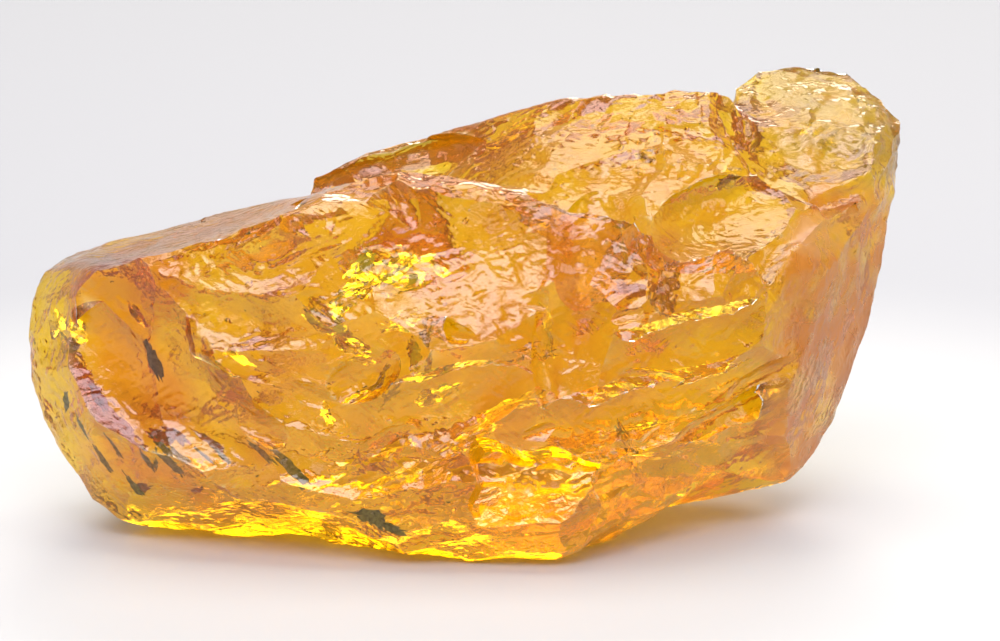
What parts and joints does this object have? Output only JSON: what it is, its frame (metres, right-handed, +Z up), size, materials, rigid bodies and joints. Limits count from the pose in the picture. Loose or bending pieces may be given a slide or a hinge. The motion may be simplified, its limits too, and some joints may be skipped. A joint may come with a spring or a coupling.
{
  "type": "raw amber piece",
  "caption": "Rough, glassy piece of raw amber with scooped fracture scars, a long ridge and a raised fin at one end, resting on a flat old break.",
  "frame": {"origin": "under the middle of the piece's bounding box, on the surface that it rests on", "axes": "+Z up, +X along the length towards the end with the fin, +Y from the broken front towards the back"},
  "size_m": [0.0816, 0.0408, 0.0412],
  "materials": {
    "amber": "glassy, clear honey-orange resin, slightly frosted on the right end"
  },
  "bodies": {
    "root": {"amber": "amber"}
  },
  "joints": []
}
